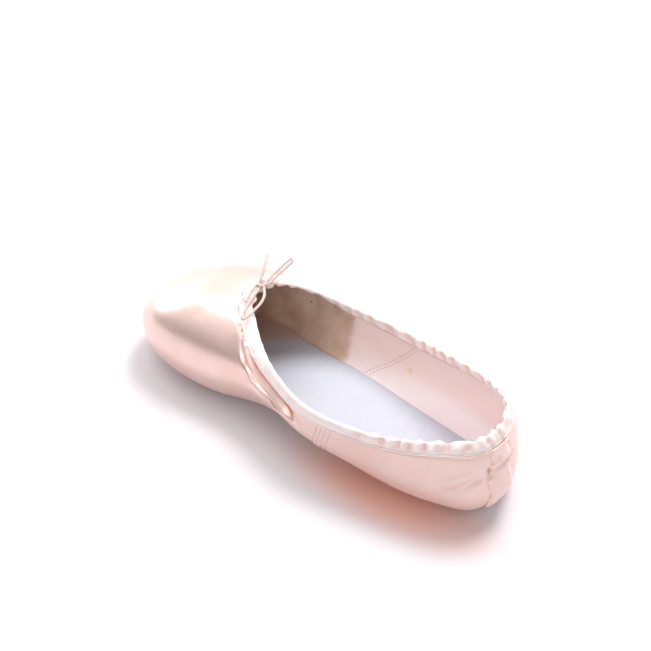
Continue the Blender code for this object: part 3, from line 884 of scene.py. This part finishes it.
strip = smooth_copy("heel_strip", "heel_seam_strip", 3)
places = points_of(strip)[0]
away = places - np.array(STRIP_AXIS)
away[:, 2] = 0
away = unit(away)
places, fold_depth = add_folds(places, away, HEEL_FOLDS)
sideways = np.stack([-away[:, 1], away[:, 0], np.zeros(len(away))], axis=1).mean(axis=0)
across = places @ sideways
level = np.round(places[:, 2] / STRIP_LEVEL).astype(int)
to_edge = np.zeros(len(places))
for number in np.unique(level):
    row = level == number
    middle = (across[row].min() + across[row].max()) / 2
    half = (across[row].max() - across[row].min()) / 2
    to_edge[row] = np.abs(across[row] - middle) / half
sunk = smoothstep(to_edge, *STRIP_SEWN)
waves = places[:, 2] / PUCKER_SPACING
puckers = np.sin(2 * math.pi * waves + 2.0 * np.sin(waves)) * smoothstep(to_edge, *STRIP_PUCKERED)
places += away * (PUCKER_DEPTH * puckers - STRIP_SINK * sunk)[:, None]
places += sideways * np.interp(places[:, 2], SWAY_HEIGHTS, SWAYS)[:, None]
set_points(strip, places)
# Painted warm shade in the heel crease and along the sunk seam edges
shade = strip.data.attributes.new("fold_depth", "FLOAT", "POINT")
in_crease = np.clip(HEEL_TINT * fold_depth / FOLD_FULL_DEPTH, 0, 1)
shade.data.foreach_set("value", in_crease + SEAM_SHADE_TINT * sunk)
strip.data.materials.append(satin)

# Drawstring: a thin cotton cord that leaves the casing at the throat, is knotted, and falls in two
# uneven loops and two cut ends.
CORD_DIAMETER = 0.0016
CORD_STEP = 0.0006
THROAT_SEAT = np.array((0.0062, 0.0543, 0.0558))
WRAP_CENTRE = (0.0022, -0.0036, 0.0030)
WRAP_RADIUS = 0.0021
WRAP_RISE = 0.0011
NEAR_CORD = (
    (0.0010, -0.0038, 0.0026),
    (-0.0013, -0.0042, 0.0024), (-0.0061, -0.0050, 0.0026), (-0.0121, -0.0062, 0.0026),
    (-0.0177, -0.0074, 0.0022), (-0.0225, -0.0090, 0.0017), (-0.0243, -0.0104, 0.0014),
    (-0.0210, -0.0114, 0.0015), (-0.0153, -0.0118, 0.0020), (-0.0095, -0.0118, 0.0026),
    (-0.0047, -0.0104, 0.0030), (-0.0009, -0.0076, 0.0030), (0.0014, -0.0052, 0.0034),
    (0.0020, -0.0028, 0.0034), (0.0000, -0.0014, 0.0026), (-0.0055, -0.0018, 0.0024),
    (-0.0095, -0.0028, 0.0022), (-0.0133, -0.0040, 0.0020),
)
FAR_CORD = (
    (0.0030, -0.0044, 0.0030),
    (0.0051, -0.0050, 0.0036), (0.0107, -0.0054, 0.0048), (0.0163, -0.0062, 0.0061),
    (0.0221, -0.0070, 0.0072), (0.0246, -0.0077, 0.0072), (0.0243, -0.0086, 0.0068),
    (0.0203, -0.0084, 0.0056), (0.0153, -0.0076, 0.0045), (0.0103, -0.0068, 0.0036),
    (0.0057, -0.0064, 0.0028), (0.0030, -0.0054, 0.0032), (0.0024, -0.0040, 0.0042),
    (0.0031, -0.0028, 0.0052), (0.0057, -0.0018, 0.0068), (0.0101, 0.0000, 0.0088),
    (0.0167, 0.0030, 0.0106),
)
COTTON = "D9C5BE"
COTTON_SHADE = "B79F98"
FIBRE_SIZE = 0.0006
FIBRE_HEIGHT = 0.0001


# Twisted cotton: matt and fibrous, a little darker between its fibres
cotton, cotton_shader = new_material("twisted cotton cord", Roughness=0.7, Sheen_Weight=0.3)
on_cotton = add_node(cotton, "ShaderNodeTexCoord").outputs["Object"]
fibres = add_node(
    cotton,
    "ShaderNodeTexNoise",
    {"Scale": 1 / FIBRE_SIZE, "Detail": 3.0, "Roughness": 0.55},
    {"Vector": on_cotton},
).outputs["Fac"]
tone = tinted(cotton, COTTON, COTTON_SHADE, fibres, 0.3, 0.7, 0.5)
cotton.node_tree.links.new(tone, cotton_shader.inputs["Base Color"])
twisted = add_node(
    cotton, "ShaderNodeBump", {"Distance": FIBRE_HEIGHT, "Strength": 0.7}, {"Height": fibres}
)
cotton.node_tree.links.new(twisted.outputs["Normal"], cotton_shader.inputs["Normal"])

knot = smooth_copy("bow_knot", "bow_knot_core", 1)
knot.data.materials.append(cotton)
turns = np.linspace(0, 4 * math.pi, 49)
wrap_route = np.stack(
    [
        WRAP_RADIUS * np.cos(turns),
        WRAP_RADIUS * np.sin(turns),
        WRAP_RISE * (turns / (2 * math.pi) - 1),
    ],
    axis=1,
) + THROAT_SEAT + WRAP_CENTRE
wrap = tube("bow_knot_wrap", wrap_route, CORD_DIAMETER, False, cotton)

near_route = smooth_route(np.array(NEAR_CORD) + THROAT_SEAT, CORD_STEP)
near_cord = tube("drawstring_near", near_route, CORD_DIAMETER, False, cotton)
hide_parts("bow_loop_near", "bow_end_near")
far_route = smooth_route(np.array(FAR_CORD) + THROAT_SEAT, CORD_STEP)
far_cord = tube("drawstring_far", far_route, CORD_DIAMETER, False, cotton)
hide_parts("bow_loop_far", "bow_end_far")

# Studio: white paper under soft light from high on the far side, and a dark corner of the room that
# gives the satin its dark band. The warm light the satin throws on the paper beside the waist is
# painted.
PAPER_WHITE = "DEDBDF"
PAPER_GLOW = "EBB8A9"
GLOW_CENTRE = (-0.034, -0.062)
GLOW_HALF = (0.022, 0.060)
SKY_GREY = "8E8688"
SKY_WHITE = "FFFFFF"
ROOM_DARK = "32180F"
DARK_SIDE = (-0.92, 0.37, 0.12)
LAMP_SIDE = (0.40, 0.35, 0.85)
ROOM_STRENGTH = 0.68

bpy.ops.mesh.primitive_plane_add(size=8.0, location=(0, 0, 0))
floor = bpy.context.view_layer.objects.active
floor.name = "floor"

# Paper: matt white, with no shine, and a painted pool of warm light beside the waist
paper, paper_shader = new_material("white paper", Roughness=0.9, Specular_IOR_Level=0.1)
on_paper = add_node(paper, "ShaderNodeTexCoord").outputs["Object"]
glow_place = add_node(
    paper,
    "ShaderNodeMapping",
    {
        "Location": (-GLOW_CENTRE[0] / GLOW_HALF[0], -GLOW_CENTRE[1] / GLOW_HALF[1], 0),
        "Scale": (1 / GLOW_HALF[0], 1 / GLOW_HALF[1], 0),
    },
    {"Vector": on_paper},
)
from_glow = add_node(
    paper,
    "ShaderNodeVectorMath",
    {"operation": "LENGTH"},
    {0: glow_place.outputs["Vector"]},
)
# Painted pool of warm light that the satin throws on the paper
tone = tinted(paper, PAPER_GLOW, PAPER_WHITE, from_glow.outputs["Value"], 0.2, 1.4)
paper.node_tree.links.new(tone, paper_shader.inputs["Base Color"])
floor.data.materials.append(paper)

world = bpy.data.worlds.new("studio")
bpy.context.scene.world = world
world.use_nodes = True
toward = add_node(world, "ShaderNodeTexCoord").outputs["Generated"]
toward_dark = add_node(
    world, "ShaderNodeVectorMath", {"operation": "DOT_PRODUCT", 1: DARK_SIDE}, {0: toward}
)
toward_lamps = add_node(
    world, "ShaderNodeVectorMath", {"operation": "DOT_PRODUCT", 1: LAMP_SIDE}, {0: toward}
)
sky = tinted(world, SKY_GREY, SKY_WHITE, toward_lamps.outputs["Value"], -0.45, 0.85)
room = tinted(world, sky, ROOM_DARK, toward_dark.outputs["Value"], 0.50, 0.82)
world.node_tree.links.new(room, world.node_tree.nodes["Background"].inputs["Color"])
world.node_tree.nodes["Background"].inputs["Strength"].default_value = ROOM_STRENGTH


def soft_light(name, place, aim, size, power, colour):
    """A round area light that faces its aim, with its size in metres and its power in watts."""
    light = bpy.data.lights.new(name, "AREA")
    light.shape = "DISK"
    light.size = size
    light.energy = power
    light.color = colour
    lamp = bpy.data.objects.new(name, light)
    lamp.location = place
    lamp.rotation_euler = (Vector(place) - Vector(aim)).to_track_quat("Z", "Y").to_euler()
    bpy.context.scene.collection.objects.link(lamp)


soft_light("key", (0.68, 0.00, 1.20), (0, 0, 0), 0.6, 17, (1.0, 0.99, 0.98))
soft_light("top", (0.25, 0.60, 1.30), (0, 0, 0), 0.9, 5.5, (1.0, 0.99, 0.98))
soft_light("front", (0.20, 1.30, 0.55), (0, 0.05, 0.03), 0.9, 5, (1.0, 0.99, 0.98))
soft_light("fill", (-0.86, -0.22, 0.75), (0, 0, 0), 0.6, 3.4, (1.0, 0.97, 0.96))

# Camera: the angle from which the shoe is photographed
CAMERA_AZIMUTH = math.radians(-55.14)
CAMERA_ELEVATION = math.radians(45.18)
CAMERA_DISTANCE = 0.8596
CAMERA_AIM = (-0.0018, 0.0442)
CAMERA_LENS = 85
back = Vector(
    (
        math.sin(CAMERA_AZIMUTH) * math.cos(CAMERA_ELEVATION),
        -math.cos(CAMERA_AZIMUTH) * math.cos(CAMERA_ELEVATION),
        math.sin(CAMERA_ELEVATION),
    )
)
right = Vector((math.cos(CAMERA_AZIMUTH), math.sin(CAMERA_AZIMUTH), 0))
up = back.cross(right)
camera = bpy.data.objects.new("camera", bpy.data.cameras.new("camera"))
camera.data.lens = CAMERA_LENS
camera.data.clip_start = 0.01
camera.location = right * CAMERA_AIM[0] + up * CAMERA_AIM[1] + back * CAMERA_DISTANCE
camera.rotation_euler = back.to_track_quat("Z", "Y").to_euler()
bpy.context.scene.collection.objects.link(camera)
bpy.context.scene.camera = camera
bpy.context.scene.view_settings.view_transform = "Standard"
